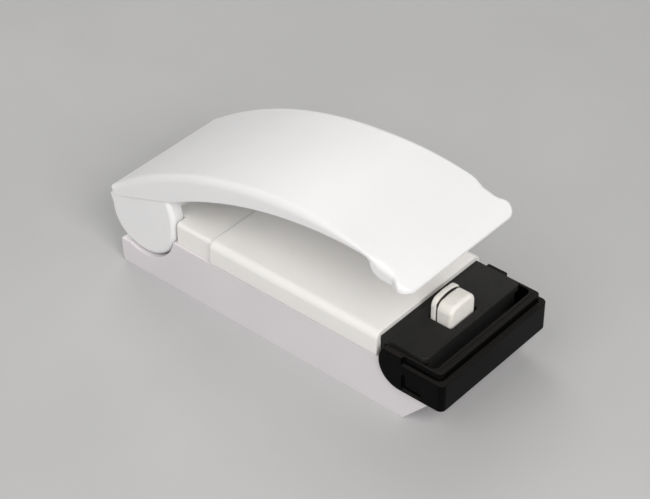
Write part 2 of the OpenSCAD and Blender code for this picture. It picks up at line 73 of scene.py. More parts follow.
def foot_of(node):
    """Height of a CAD node's lowest point, in millimetres."""
    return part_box(node)[0].z / MM


# ---------------------------------------------------------------- outlines

def arc(cx, cy, r, start, end, steps):
    """Points on a circle, from the start angle to the end angle in degrees."""
    out = []
    for k in range(steps + 1):
        a = math.radians(start + (end - start) * k / steps)
        out.append((cx + r * math.cos(a), cy + r * math.sin(a)))
    return out


def rounded(corners, step=10):
    """Closed outline whose corners (u, v, radius) are rounded."""
    out = []
    for i, (u, v, r) in enumerate(corners):
        p = Vector((u, v))
        if r <= 0:
            out.append((u, v))
            continue
        a = (Vector(corners[i - 1][:2]) - p).normalized()
        b = (Vector(corners[(i + 1) % len(corners)][:2]) - p).normalized()
        half = a.angle(b) / 2
        centre = p + (a + b).normalized() * (r / math.sin(half))
        start = p + a * (r / math.tan(half)) - centre
        end = p + b * (r / math.tan(half)) - centre
        turn = math.atan2(start.x * end.y - start.y * end.x, start.dot(end))
        steps = max(3, round(abs(math.degrees(turn)) / step))
        first = math.atan2(start.y, start.x)
        for k in range(steps + 1):
            t = first + turn * k / steps
            out.append((centre.x + r * math.cos(t), centre.y + r * math.sin(t)))
    return out


def anticlockwise(points):
    area = sum(a[0] * b[1] - b[0] * a[1] for a, b in zip(points, points[1:] + points[:1]))
    return list(points) if area > 0 else list(points)[::-1]


def tidy(points, least=0.02):
    """The outline without points that nearly coincide."""
    out = []
    for p in points:
        if not out or math.dist(p, out[-1]) > least:
            out.append(p)
    if math.dist(out[0], out[-1]) <= least:
        out.pop()
    return out


def inset(points, amounts):
    """Anticlockwise outline moved inwards, by its own amount at each point."""
    out = []
    for i, p in enumerate(points):
        p = Vector(p)
        d0 = (p - Vector(points[i - 1])).normalized()
        d1 = (Vector(points[(i + 1) % len(points)]) - p).normalized()
        n0, n1 = Vector((-d0.y, d0.x)), Vector((-d1.y, d1.x))
        m = (n0 + n1).normalized()
        q = p + m * (amounts[i] / max(m.dot(n0), 0.35))
        out.append((q.x, q.y))
    return out


def fitting(points, wanted):
    """End radii that the outline has room for: less than its own round corners, and changing slowly."""
    n = len(points)
    out = list(wanted)
    for i, p in enumerate(points):
        a, b = Vector(points[i - 1]), Vector(points[(i + 1) % n])
        d0, d1 = Vector(p) - a, b - Vector(p)
        turn = math.atan2(d0.x * d1.y - d0.y * d1.x, d0.dot(d1))
        if 0.01 < turn < math.radians(40):
            out[i] = min(out[i], 0.85 * min(d0.length, d1.length) / turn)
    for _ in range(2):
        for order in (range(n), range(n - 1, -1, -1)):
            for i in order:
                for j in (i - 1, (i + 1) % n):
                    out[i] = min(out[i], out[j] + 0.6 * math.dist(points[i], points[j]))
    return out


# ---------------------------------------------------------------- solids

SIDE = "side"      # outline in (station, height), extruded across Y
PLAN = "plan"      # outline in (station, y), extruded up Z
SECTION = "section"  # outline in (y, height), extruded along the station
PLACES = {
    SIDE: lambda u, v, w: (u, w, v),
    PLAN: lambda u, v, w: (u, v, w),
    SECTION: lambda u, v, w: (w, u, v),
}


def prism(points, low, high, r_low=0.0, r_high=0.0, way=SIDE, steps=5):
    """Closed mesh: an outline extruded from low to high with round end edges.

    A radius is one number, or a function of a point of the outline.
    """
    points = anticlockwise(tidy(points))
    radius = [fitting(points, [r(p) if callable(r) else r for p in points]) for r in (r_low, r_high)]
    rings = []
    for end, level, sign in ((0, low, 1), (1, high, -1)):
        some = max(radius[end]) > 1e-6
        turns = [k / steps for k in range(steps + 1)] if some else [1.0]
        made = []
        for t in turns:
            a = t * math.pi / 2
            ring = inset(points, [r * (1 - math.sin(a)) for r in radius[end]])
            made.append([(u, v, level + sign * r * (1 - math.cos(a)))
                         for (u, v), r in zip(ring, radius[end])])
        rings += made if end == 0 else made[::-1]
    bm = bmesh.new()
    place = PLACES[way]
    rows = [[bm.verts.new(place(*p)) for p in ring] for ring in rings]
    n = len(points)
    for a, b in zip(rows, rows[1:]):
        for i in range(n):
            bm.faces.new((a[i], a[(i + 1) % n], b[(i + 1) % n], b[i]))
    bm.faces.new(rows[0])
    bm.faces.new(rows[-1])
    bmesh.ops.recalc_face_normals(bm, faces=bm.faces)
    return solid("tool", bm)


def solid(name, bm):
    mesh = bpy.data.meshes.new(name)
    bm.to_mesh(mesh)
    bm.free()
    obj = bpy.data.objects.new(name, mesh)
    bpy.context.scene.collection.objects.link(obj)
    return obj


def rod(centre, r, low, high, way=SIDE, steps=48):
    """Round bar: a circle about centre, extruded."""
    return prism(arc(*centre, r, 0, 360, steps)[:-1], low, high, way=way)


def block(low, high, r=0.0, way=PLAN):
    """Box from two of its corners. The edges along its extrusion have radius r."""
    axes = {SIDE: (0, 2, 1), PLAN: (0, 1, 2), SECTION: (1, 2, 0)}[way]
    u0, v0, w0 = (low[a] for a in axes)
    u1, v1, w1 = (high[a] for a in axes)
    points = rounded([(u0, v0, r), (u1, v0, r), (u1, v1, r), (u0, v1, r)])
    return prism(points, w0, w1, way=way)


def bake(obj):
    """Applies the modifiers."""
    bpy.context.view_layer.update()
    graph = bpy.context.evaluated_depsgraph_get()
    mesh = bpy.data.meshes.new_from_object(obj.evaluated_get(graph))
    obj.modifiers.clear()
    obj.data = mesh
    return obj


def combine(obj, tools, operation):
    for tool in tools:
        m = obj.modifiers.new("part", "BOOLEAN")
        m.operation = operation
        m.solver = "EXACT"
        m.object = tool
    bake(obj)
    for tool in tools:
        bpy.data.objects.remove(tool)
    bm = bmesh.new()
    bm.from_mesh(obj.data)
    bmesh.ops.remove_doubles(bm, verts=bm.verts, dist=0.004)
    bmesh.ops.dissolve_degenerate(bm, edges=bm.edges, dist=0.002)
    bm.to_mesh(obj.data)
    bm.free()
    return obj


def add(obj, *tools):
    return combine(obj, tools, "UNION")


def cut(obj, *tools):
    return combine(obj, tools, "DIFFERENCE")


def keep(obj, *tools):
    return combine(obj, tools, "INTERSECT")


def mirrored(obj):
    """The same solid on the other side of the middle plane, with the first kept."""
    other = obj.copy()
    other.data = obj.data.copy()
    other.data.transform(Matrix.Scale(-1, 4, (0, 1, 0)))
    other.data.flip_normals()
    bpy.context.scene.collection.objects.link(other)
    return other


def slice_at(obj, stations):
    """Cuts edges across the mesh at these stations, so that it can be bent there."""
    bm = bmesh.new()
    bm.from_mesh(obj.data)
    for s in stations:
        geometry = bm.verts[:] + bm.edges[:] + bm.faces[:]
        bmesh.ops.bisect_plane(bm, geom=geometry, plane_co=(s, 0, 0), plane_no=(1, 0, 0), dist=0.003)
    bm.to_mesh(obj.data)
    bm.free()
    return obj


def warp(obj, move):
    """Moves each point by a function of its place."""
    for v in obj.data.vertices:
        v.co = move(v.co)
    return obj


def soften(obj, width, angle=50, segments=3):
    m = obj.modifiers.new("soft", "BEVEL")
    m.width = width
    m.segments = segments
    m.limit_method = "ANGLE"
    m.angle_limit = math.radians(angle)
    m.miter_outer = "MITER_ARC"
    return bake(obj)


def smooth(obj):
    """Smooth shading with sharp edges kept, weighted to the large faces."""
    sharp = math.radians(38)
    bm = bmesh.new()
    bm.from_mesh(obj.data)
    for f in bm.faces:
        f.smooth = True
    for e in bm.edges:
        e.smooth = not (e.is_manifold and e.calc_face_angle(0) > sharp)
    bm.to_mesh(obj.data)
    bm.free()
    m = obj.modifiers.new("normals", "WEIGHTED_NORMAL")
    m.keep_sharp = True
    m.weight = 80
    return obj


def deliver(obj, name, body, material, node):
    """Names a finished piece, moves it into the frame and says what it is."""
    obj.name = name
    obj.data.name = name
    obj.data.transform(TO_FRAME)
    smooth(obj)
    obj.data.materials.clear()
    obj.data.materials.append(material)
    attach(obj, body)
    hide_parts(node)
    return obj


def step(x, low, high):
    """Smooth step from 0 at low to 1 at high."""
    t = min(max((x - low) / (high - low), 0.0), 1.0)
    return t * t * (3 - 2 * t)


# ---------------------------------------------------------------- materials

class Paint:
    """A node material under construction. Lengths in its textures are in metres."""

    def __init__(self, name, rough, metallic=0.0, coat=0.0, scatter=0.0, specular=0.5):
        self.material = bpy.data.materials.new(name)
        self.material.use_nodes = True
        self.tree = self.material.node_tree
        self.shader = self.tree.nodes["Principled BSDF"]
        self.place = self.node("ShaderNodeTexCoord").outputs["Object"]
        self.set("Roughness", rough)
        self.set("Metallic", metallic)
        self.set("Specular IOR Level", specular)
        self.set("Coat Weight", coat)
        self.set("Coat Roughness", 0.1)
        self.set("Subsurface Weight", scatter)
        self.set("Subsurface Radius", (1.0, 0.92, 0.85))
        self.set("Subsurface Scale", 0.0012)

    def node(self, kind):
        return self.tree.nodes.new(kind)

    def link(self, a, b):
        self.tree.links.new(a, b)

    def set(self, socket, value):
        self.shader.inputs[socket].default_value = value

    def stretched(self, scale):
        mapping = self.node("ShaderNodeMapping")
        mapping.inputs["Scale"].default_value = scale
        self.link(self.place, mapping.inputs["Vector"])
        return mapping.outputs["Vector"]

    def noise(self, size, detail=3.0, rough=0.55, vector=None):
        """Noise whose blotches are about size millimetres."""
        n = self.node("ShaderNodeTexNoise")
        n.inputs["Scale"].default_value = 1 / (size * MM)
        n.inputs["Detail"].default_value = detail
        n.inputs["Roughness"].default_value = rough
        self.link(vector or self.place, n.inputs["Vector"])
        return n.outputs["Fac"]

    def cells(self, size):
        n = self.node("ShaderNodeTexVoronoi")
        n.inputs["Scale"].default_value = 1 / (size * MM)
        self.link(self.place, n.inputs["Vector"])
        return n.outputs["Distance"]

    def ramp(self, value, stops):
        n = self.node("ShaderNodeValToRGB")
        ramp = n.color_ramp
        while len(ramp.elements) < len(stops):
            ramp.elements.new(0.5)
        for e, (at, colour) in zip(ramp.elements, stops):
            e.position = at
            e.color = (*colour, 1) if isinstance(colour, tuple) else (colour,) * 3 + (1,)
        self.link(value, n.inputs["Fac"])
        return n.outputs["Color"]

    def mix(self, factor, a, b, blend="MIX"):
        n = self.node("ShaderNodeMix")
        n.data_type = "RGBA"
        n.blend_type = blend
        sockets = [s for s in n.inputs if s.type == "RGBA"]
        fac = next(s for s in n.inputs if s.name == "Factor" and s.type == "VALUE")
        for socket, value in ((fac, factor), (sockets[0], a), (sockets[1], b)):
            if isinstance(value, bpy.types.NodeSocket):
                self.link(value, socket)
            elif socket is fac:
                socket.default_value = value
            else:
                socket.default_value = (*value, 1)
        return next(s for s in n.outputs if s.type == "RGBA")

    def colour(self, value):
        self.link(value, self.shader.inputs["Base Color"])

    def roughness(self, value):
        self.link(value, self.shader.inputs["Roughness"])

    def bump(self, *layers):
        """Layers of (height, strength, depth in millimetres), the first one lowest."""
        normal = None
        for value, strength, depth in layers:
            n = self.node("ShaderNodeBump")
            n.inputs["Strength"].default_value = strength
            n.inputs["Distance"].default_value = depth * MM
            self.link(value, n.inputs["Height"])
            if normal:
                self.link(normal, n.inputs["Normal"])
            normal = n.outputs["Normal"]
        self.link(normal, self.shader.inputs["Normal"])


def white_plastic(name, tint, shade, rough, scatter):
    """Semi-gloss moulding: cloudy flow marks, faint sink, fine orange peel."""
    p = Paint(name, 0.36, scatter=scatter)
    cloud = p.noise(22, 3, 0.5)
    flow = p.noise(7, 4, 0.6, p.stretched((0.35, 1.0, 1.0)))
    base = p.ramp(cloud, [(0.35, shade), (0.65, tint)])
    p.colour(p.mix(p.ramp(flow, [(0.4, 0.0), (0.75, 0.35)]), base, shade))
    grey = p.noise(2.2, 5, 0.65)
    p.roughness(p.ramp(grey, [(0.3, rough[0]), (0.7, rough[1])]))
    p.bump((p.noise(9, 2, 0.4), 0.10, 0.10), (p.noise(0.5, 3, 0.6), 0.10, 0.012))
    return p.material


def matte_black():
    """Spark-eroded face: fine grain, with its flecks painted lighter grey as a painted sheen."""
    p = Paint("matte_black_moulding", 0.58, specular=0.25)
    grain = p.noise(0.22, 5, 0.7)
    cloud = p.noise(6, 3, 0.5)
    base = p.ramp(cloud, [(0.3, (0.009, 0.009, 0.009)), (0.7, (0.014, 0.0135, 0.013))])
    # painted sheen: the grain's flecks are mixed towards a lighter grey
    p.colour(p.mix(p.ramp(grain, [(0.45, 0.0), (0.75, 0.6)]), base, (0.03, 0.029, 0.028)))
    p.roughness(p.ramp(p.noise(0.5, 4, 0.6), [(0.3, 0.48), (0.7, 0.66)]))
    p.bump((grain, 0.45, 0.03), (p.cells(0.35), 0.25, 0.02))
    return p.material


def gloss_black():
    """Polished moulding with fine dust, hairline scuffs and a painted sheen on the faces that look up.
    """
    p = Paint("gloss_black_moulding", 0.16, specular=0.04)
    specks = p.ramp(p.noise(0.35, 2, 0.5), [(0.70, 0.0), (0.76, 1.0)])
    patches = p.ramp(p.noise(5, 4, 0.6), [(0.45, 0.0), (0.7, 1.0)])
    dust = p.mix(1.0, specks, patches, "MULTIPLY")
    base = p.ramp(p.noise(8, 2, 0.5),
                  [(0.3, (0.0015, 0.0015, 0.0015)), (0.7, (0.0028, 0.0026, 0.0025))])
    scuffed = p.mix(dust, base, (0.018, 0.017, 0.016))
    # painted sheen: the faces that look up are painted a lighter grey, in patches, standing in for
    # reflections
    facing = p.node("ShaderNodeSeparateXYZ")
    p.link(p.node("ShaderNodeTexCoord").outputs["Normal"], facing.inputs["Vector"])
    upward_sheen = p.mix(1.0, p.ramp(facing.outputs["Z"], [(0.55, 0.0), (0.95, 1.0)]),
                 p.ramp(p.noise(0.6, 5, 0.7), [(0.25, 0.55), (0.75, 1.0)]), "MULTIPLY")
    p.colour(p.mix(upward_sheen, scuffed, (0.023, 0.021, 0.020)))
    hair = p.noise(0.9, 4, 0.7, p.stretched((0.12, 1.0, 1.0)))
    p.roughness(p.ramp(hair, [(0.35, 0.12), (0.75, 0.26)]))
    p.bump((p.noise(4, 2, 0.5), 0.08, 0.05), (hair, 0.06, 0.01))
    return p.material


def ceramic():
    """Unglazed block: chalky cream with pits, grains and faint scorching."""
    p = Paint("unglazed_ceramic", 0.78, scatter=0.1)
    cloud = p.noise(1.6, 5, 0.65)
    base = p.ramp(cloud, [(0.30, (0.90, 0.87, 0.80)), (0.52, (0.95, 0.93, 0.88)),
                          (0.75, (0.97, 0.96, 0.93))])
    pits = p.ramp(p.cells(0.5), [(0.08, 1.0), (0.30, 0.0)])
    p.colour(p.mix(p.mix(1.0, pits, (0.35, 0.35, 0.35), "MULTIPLY"), base, (0.70, 0.64, 0.55)))
    p.roughness(p.ramp(p.noise(0.6, 4, 0.6), [(0.3, 0.66), (0.7, 0.88)]))
    p.bump((p.noise(1.1, 5, 0.65), 0.55, 0.12), (p.cells(0.45), 0.35, 0.08))
    return p.material


def metal(name, dark, light, rough, along=(0.06, 1.0, 1.0)):
    """Drawn or rolled metal, brushed along one way."""
    p = Paint(name, rough, metallic=1.0)
    brush = p.noise(0.25, 4, 0.6, p.stretched(along))
    stain = p.noise(3.0, 4, 0.6)
    base = p.ramp(brush, [(0.3, dark), (0.7, light)])
    p.colour(p.mix(p.ramp(stain, [(0.5, 0.0), (0.8, 0.35)]), base, dark))
    p.roughness(p.ramp(brush, [(0.3, rough * 0.8), (0.7, rough * 1.35)]))
    p.bump((brush, 0.15, 0.01))
    return p.material


def soft_rubber():
    """Silicone strip: dull, cloudy grey, with a fine grain."""
    p = Paint("silicone_strip", 0.62, scatter=0.15)
    base = p.ramp(p.noise(2.5, 4, 0.6), [(0.3, (0.50, 0.51, 0.51)), (0.7, (0.66, 0.67, 0.66))])
    p.colour(base)
    p.roughness(p.ramp(p.noise(0.8, 3, 0.6), [(0.3, 0.55), (0.7, 0.72)]))
    p.bump((p.noise(0.4, 3, 0.6), 0.3, 0.03))
    return p.material


def resin():
    """Brown heat-resistant moulding with mineral flecks."""
    p = Paint("brown_resin", 0.6)
    base = p.ramp(p.noise(1.8, 4, 0.6), [(0.3, (0.055, 0.036, 0.024)), (0.7, (0.11, 0.075, 0.05))])
    fleck = p.ramp(p.noise(0.3, 2, 0.5), [(0.66, 0.0), (0.72, 1.0)])
    p.colour(p.mix(fleck, base, (0.22, 0.18, 0.14)))
    p.roughness(p.ramp(p.noise(0.7, 3, 0.6), [(0.3, 0.5), (0.7, 0.7)]))
    p.bump((p.noise(0.35, 3, 0.6), 0.3, 0.03))
    return p.material


def sleeve():
    """Plain printed sleeve of a cell: dark body with a lighter band."""
    p = Paint("cell_sleeve", 0.3, coat=0.4)
    n = p.node("ShaderNodeSeparateXYZ")
    p.link(p.place, n.inputs["Vector"])
    along = p.node("ShaderNodeMath")
    along.operation = "MULTIPLY_ADD"
    p.link(n.outputs["X"], along.inputs[0])
    along.inputs[1].default_value = 10.0
    along.inputs[2].default_value = 0.5
    band = p.ramp(along.outputs[0], [(0.50, 0.0), (0.515, 1.0)])
    body = p.ramp(p.noise(6, 3, 0.5), [(0.3, (0.012, 0.028, 0.05)), (0.7, (0.018, 0.040, 0.07))])
    p.colour(p.mix(band, body, (0.42, 0.32, 0.16)))
    p.roughness(p.ramp(p.noise(1.5, 4, 0.6), [(0.3, 0.24), (0.7, 0.36)]))
    p.bump((p.noise(1.2, 3, 0.6), 0.08, 0.03))
    return p.material


def insulation():
    """Thin lead insulation: red, slightly cloudy."""
    p = Paint("lead_insulation", 0.42)
    p.colour(p.ramp(p.noise(3, 3, 0.5), [(0.3, (0.22, 0.010, 0.010)), (0.7, (0.33, 0.02, 0.018))]))
    p.roughness(p.ramp(p.noise(0.8, 3, 0.6), [(0.3, 0.36), (0.7, 0.5)]))
    p.bump((p.noise(0.7, 3, 0.6), 0.12, 0.02))
    return p.material


LEVER_WHITE = white_plastic("lever_plastic", (0.900, 0.902, 0.910), (0.875, 0.880, 0.892),
                            (0.30, 0.42), 0.35)
COVER_WHITE = white_plastic("cover_plastic", (0.930, 0.918, 0.895), (0.905, 0.892, 0.872),
                            (0.33, 0.46), 0.3)
BASE_WHITE = white_plastic("base_plastic", (0.780, 0.750, 0.772), (0.750, 0.720, 0.745),
                           (0.33, 0.46), 0.3)
MATTE_BLACK = matte_black()
GLOSS_BLACK = gloss_black()
CERAMIC = ceramic()
STEEL = metal("spring_steel", (0.42, 0.42, 0.43), (0.66, 0.67, 0.68), 0.28)
RIBBON = metal("oxidised_ribbon", (0.06, 0.055, 0.05), (0.16, 0.15, 0.14), 0.5, (1.0, 0.06, 1.0))
BRASS = metal("spring_brass", (0.52, 0.38, 0.15), (0.74, 0.58, 0.27), 0.3)
SILICONE = soft_rubber()
RESIN = resin()
SLEEVE = sleeve()
INSULATION = insulation()


def dress(node, material, bevel=0.0):
    """Gives a carried-over CAD node its material and edges rounded by bevel millimetres."""
    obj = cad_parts[node]
    obj.data.materials.clear()
    obj.data.materials.append(material)
    weld = obj.modifiers.new("weld", "WELD")
    weld.merge_threshold = 1e-6
    if bevel:
        flat = obj.modifiers.new("flat", "DECIMATE")
        flat.decimate_type = "DISSOLVE"
        flat.angle_limit = math.radians(0.5)
        soft = obj.modifiers.new("soft", "BEVEL")
        soft.width = bevel * MM
        soft.segments = 2
        soft.limit_method = "ANGLE"
        soft.angle_limit = math.radians(35)
        normals = obj.modifiers.new("normals", "WEIGHTED_NORMAL")
        normals.keep_sharp = True


# ---------------------------------------------------------------- lever

# half width of the body and of the lever behind its lip
HALF = 19.0
# the lever turns about this station and height
PIVOT = (6.8, 16.3)
EAR_R = 10.3
# the top is two arcs that meet at the apex
APEX = (60.0, 43.3)
REAR_R, FRONT_R = 102.0, 74.0
LEVER_REAR = -3.5
NOSE_REAR, NOSE_FRONT = 77.0, 89.0
NOSE_LOW = 36.1
LEVER_WALL = 1.8
# the lip flares out between these stations and has round front corners
FLARE = (83.6, 86.6)
LIP_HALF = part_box("lever_shell")[1].y / MM
LIP_CORNER = 3.5
# the skirt's lower edge is an arc with this radius, crown and station of the crown
SKIRT_R, SKIRT_CROWN, SKIRT_X = 109.0, 40.6, 72.0
# behind this station and height it goes on as a straight crease above the ear
CREASE = (17.0, 25.65)
CREASE_SLOPE = 0.372
# the ears' inner faces, and the stand of the lever's spring
EAR_INNER = 15.0
SPRING_X = 23.0


def arch(x, drop=0.0):
    """Height of the lever's top at a station, or of a surface that lies drop below it."""
    r = REAR_R if x < APEX[0] else FRONT_R
    return APEX[1] - r + math.sqrt((r - drop) ** 2 - (x - APEX[0]) ** 2)


def lever_top(x):
    """The arch, turning down a little at the lip."""
    return arch(x) - 0.04 * max(x - 85.5, 0.0) ** 2


def skirt(x):
    """Height of the side band's lower edge."""
    if x > CREASE[0]:
        return SKIRT_CROWN - SKIRT_R + math.sqrt(SKIRT_R ** 2 - (x - SKIRT_X) ** 2)
    return CREASE[1] - (CREASE[0] - x) * CREASE_SLOPE


def spaced(low, high, pitch):
    """Evenly spaced values from low to high, about pitch apart."""
    n = max(1, round((high - low) / pitch))
    return [low + (high - low) * k / n for k in range(n + 1)]


def lip_half(x):
    """Half width of the lever at a station: the lip flares and has round corners."""
    half = HALF + (LIP_HALF - HALF) * step(x, *FLARE)
    round_from = NOSE_FRONT - LIP_CORNER
    if x > round_from:
        half += math.sqrt(max(LIP_CORNER ** 2 - (x - round_from) ** 2, 0.0)) - LIP_CORNER
    return half


def band_edge(p):
    """Radius of the band's long edges at a point: broad above, small below."""
    x, z = p
    under = skirt(x) if x < NOSE_REAR else NOSE_LOW
    thick = max(lever_top(x) - under, 0.5)
    if z > lever_top(x) - 0.05 or x < LEVER_REAR + 1:
        broad = 1.8
        # the wall over the notch is thin, so the edge narrows there
        over_notch = 0.42 + 0.5 * max(x - NOSE_REAR - 0.6, 0.0) if x > NOSE_REAR - 2 else broad
        return min(broad, 0.42 * thick, over_notch)
    if x > FLARE[0]:
        return min(0.9, 0.45 * thick)
    return min(0.6, 0.3 * thick)


def lever_band():
    """The arched top with its side bands and nose, still solid."""
    pitch, near_front = 1.3, NOSE_FRONT - 0.7
    top = [(x, lever_top(x)) for x in spaced(LEVER_REAR + 0.7, near_front, pitch)]
    front = rounded([(near_front, lever_top(near_front), 0),
                     (NOSE_FRONT, lever_top(NOSE_FRONT), 0.35),
                     (NOSE_FRONT, NOSE_LOW, 0.3), (80.0, NOSE_LOW, 0)])[1:-1]
    # under the nose the outline curls up into a notch, where the side band starts
    nose = arc(81.0, 39.9, 3.8, 268, 190, 9)
    notch = arc(76.3, 39.45, 0.95, 15, 88, 5)
    low = [(x, skirt(x)) for x in spaced(18.6, 75.6, 1.5)][::-1]
    crease = [(x, skirt(x)) for x in spaced(LEVER_REAR, 17.2, 1.5)][::-1]
    rear_top = arc(LEVER_REAR + 0.9, arch(LEVER_REAR + 0.35) - 0.71, 0.9, 180, 128, 5)
    outline = top + front + nose + notch + low + crease + rear_top
    return prism(outline, -HALF, HALF, band_edge, band_edge, steps=6)


def lever_ears():
    """Both ears in one solid: a drum whose front edge leans back under the band."""
    bead, sunk = 1.25, 0.45
    lean = arc(2.75, 18.0, 14.4, -4, 33, 8)
    lid = [(x, arch(x) - 2.0) for x in spaced(LEVER_REAR, 13.8, 2.0)][::-1]
    outline = arc(*PIVOT, EAR_R, 180, 357, 56) + lean + lid

    def edge(p):
        return bead if p[1] < arch(p[0]) - 2.6 else 0.0

    ears = prism(outline, -HALF + sunk, HALF - sunk, edge, edge, steps=6)

    # the ear's face comes flush with the band towards the rear
    def flush(c):
        return Vector((c.x, c.y + math.copysign(0.4 * (1 - step(c.x, LEVER_REAR, 6.0)), c.y), c.z))

    return warp(ears, flush)


def lever_hollow():
    """The space between the ears, and the space under the arch."""
    inner = EAR_R - LEVER_WALL
    between, front, far = PIVOT[0] - inner, 18.1, -12
    roof = [(x, arch(x, LEVER_WALL)) for x in spaced(between, front, 1.5)]
    # between the ears the rear wall ends 45 degrees below the pin's level
    tail = [(front, far), (PIVOT[0] - PIVOT[1] + far, far)]
    ears = prism(arc(*PIVOT, inner, 225, 180, 12) + roof + tail, -EAR_INNER, EAR_INNER)
    rear, nose_wall = 17.1, NOSE_FRONT - LEVER_WALL
    roof = [(x, arch(x, LEVER_WALL)) for x in spaced(rear, nose_wall, 1.5)][::-1]
    half = HALF - LEVER_WALL
    return ears, prism([(rear, 0), (nose_wall, 0)] + roof, -half, half)


def make_lever():
    lever = add(lever_band(), lever_ears())
    cut(lever, *lever_hollow())
    # spigot for the spring's top, and the bore for the pin
    spigot_r, bore_r = 2.2, 2.06
    crest = arch(SPRING_X)
    add(lever, rod((SPRING_X, 0.0), spigot_r, crest - LEVER_WALL - 1.3, crest - 1.0, PLAN, 32))
    cut(lever, rod(PIVOT, bore_r, -17.6, 17.6, SIDE, 32))
    soften(lever, 0.28, 55, 2)
    slice_at(lever, [FLARE[0] + (FLARE[1] - FLARE[0]) * k / 6 for k in range(7)])
    turns = [math.radians(a) for a in range(0, 90, 12)]
    slice_at(lever, [NOSE_FRONT - LIP_CORNER * (1 - math.sin(t)) for t in turns])
    warp(lever, lambda c: Vector((c.x, c.y * lip_half(c.x) / HALF, c.z)))
    return deliver(lever, "lever_moulding", "lever", LEVER_WHITE, "lever_shell")


def make_press_pad():
    """Silicone strip with round edges, its face set flat on the block when the lever is closed."""
    low, top = (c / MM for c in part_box("press_pad"))
    rear, front = low.x - ZERO_X / MM, top.x - ZERO_X / MM
    root, edge, stroke = 84.35, 0.35, math.radians(8.2)
    fall = (front - rear) * math.tan(stroke)
    outline = rounded([(rear, low.z, edge), (front, low.z + fall, edge), (front, NOSE_LOW, 0.2),
                       (root, NOSE_LOW, 0), (root, top.z, 0.15), (rear, top.z, 0.15)])
    pad = prism(outline, low.y, top.y, edge, edge, steps=4)
    # fine grooves across the sealing face
    foot, rise = low.z - 0.5, low.z + fall * 1.1
    groove = [(rear - 1, foot), (front + 1, rise - 0.5), (front + 1, rise + 0.12),
              (rear - 1, low.z - fall * 0.1 + 0.05)]
    cut(pad, *[prism(groove, y - 0.2, y + 0.2) for y in spaced(low.y + 1.4, top.y - 1.4, 1.35)])
    return deliver(pad, "sealing_strip", "lever", SILICONE, "press_pad")


# ---------------------------------------------------------------- cover

# height of the base's upper edge
SEAM = 14.0


def make_top_cover():
    rear, front, foot, top = 29.12, 79.98, SEAM + 0.1, top_of("top_cover")
    section = rounded([(-HALF, foot, 0.25), (HALF, foot, 0.25), (HALF, top, 1.9), (-HALF, top, 1.9)], 9)
    cover = prism(section, rear, front, 0.3, 0.15, SECTION, 3)
    inner = HALF - 1.6
    hollow = block((28, -inner, 12), (front - 1.58, inner, top - 1.6))
    lead_gap = block((75, -8, 12), (82, 8, SEAM + 2.4))
    cut(cover, hollow, lead_gap)
    return deliver(cover, "top_cover_moulding", "base", COVER_WHITE, "top_cover")


# ---------------------------------------------------------------- head

def make_head_plate():
    top = top_of("head_plate")
    half, rear, front, corner = 17.65, 80.05, 92.9, 1.6
    plan = rounded([(rear, -half, 0.15), (front, -half, corner), (front, half, corner),
                    (rear, half, 0.15)], 9)
    plate = prism(plan, top - 1.5, top, 0.0, 0.3, PLAN, 3)
    # side cheeks down to the seam, and the slot for the heated block
    cheeks = block((rear, 16.45, SEAM + 0.1), (81.4, half, top - 0.8), 0.3)
    add(plate, mirrored(cheeks), cheeks)
    slot = block((83.8, -5.8, 10), (90.8, 4.2, 30), 0.7)
    cut(plate, slot)
    soften(plate, 0.16, 60, 2)
    return deliver(plate, "head_plate_moulding", "base", MATTE_BLACK, "head_plate")


# the guard turns about this station and height
GUARD_AXIS = (87.2, 14.5)
# round rear end of its side arms
GUARD_END = 6.1
GUARD_FOOT = 8.4
GUARD_FRONT = 99.3
# a ledge runs round the rim from this station, at this height
LEDGE_START, LEDGE = 87.6, 16.0


def make_guard():
    """Cut from one block: the outer faces, then the ledge round the rim, then the inside."""
    top = top_of("guard")
    half, inner, rim_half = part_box("guard")[1].y / MM, 17.9, 18.7
    rim_front, rim_back, corner = 97.9, 95.6, 1.3
    # these are past the guard on every side
    rear, front, side_far, above = 60, 110, 30, 40

    plan = rounded([(70, -half, 0), (GUARD_FRONT, -half, 1.5),
                    (GUARD_FRONT, half, 1.5), (70, half, 0)], 9)
    guard = prism(plan, 4, top, way=PLAN)
    start = 180 - math.degrees(math.asin((top + 0.5 - GUARD_AXIS[1]) / GUARD_END))
    side = arc(*GUARD_AXIS, GUARD_END, start, 270, 34)
    side += [(front, GUARD_FOOT), (front, 25), (81.5, 25)]
    keep(guard, prism(side, -half - 2, half + 2))
    ledge = rounded([(LEDGE_START, -side_far, 0), (front, -side_far, 0),
                     (front, side_far, 0), (LEDGE_START, side_far, 0),
                     (LEDGE_START, rim_half, 0.3), (rim_front, rim_half, corner),
                     (rim_front, -rim_half, corner), (LEDGE_START, -rim_half, 0.3)], 9)
    inside = rounded([(rear, -inner, 0), (rim_back, -inner, corner),
                      (rim_back, inner, corner), (rear, inner, 0)], 9)
    cut(guard, prism(ledge, LEDGE, above, way=PLAN), prism(inside, -1, above + 1, way=PLAN))
    boss = rod(GUARD_AXIS, 2.9, 16.25, 18.2)
    add(guard, mirrored(boss), boss)
    # finger recess and pin bore
    recess = block((87.8, half - 0.75, 8.9), (93.3, 22, 13.6), 0.7, SIDE)
    cut(guard, mirrored(recess), recess)
    cut(guard, rod(GUARD_AXIS, 1.55, -18.85, 18.85))
    soften(guard, 0.3, 40, 3)
    # a shallow groove parts the rim's top into an inner bead and the outer band
    cut(guard, block((96.45, -17.3, top - 0.15), (96.85, 17.3, top + 1), 0.18))
    return deliver(guard, "guard_moulding", "guard", GLOSS_BLACK, "guard")


# ---------------------------------------------------------------- heater

# the heated block stands a little off the middle
HEATER_Y = -0.8


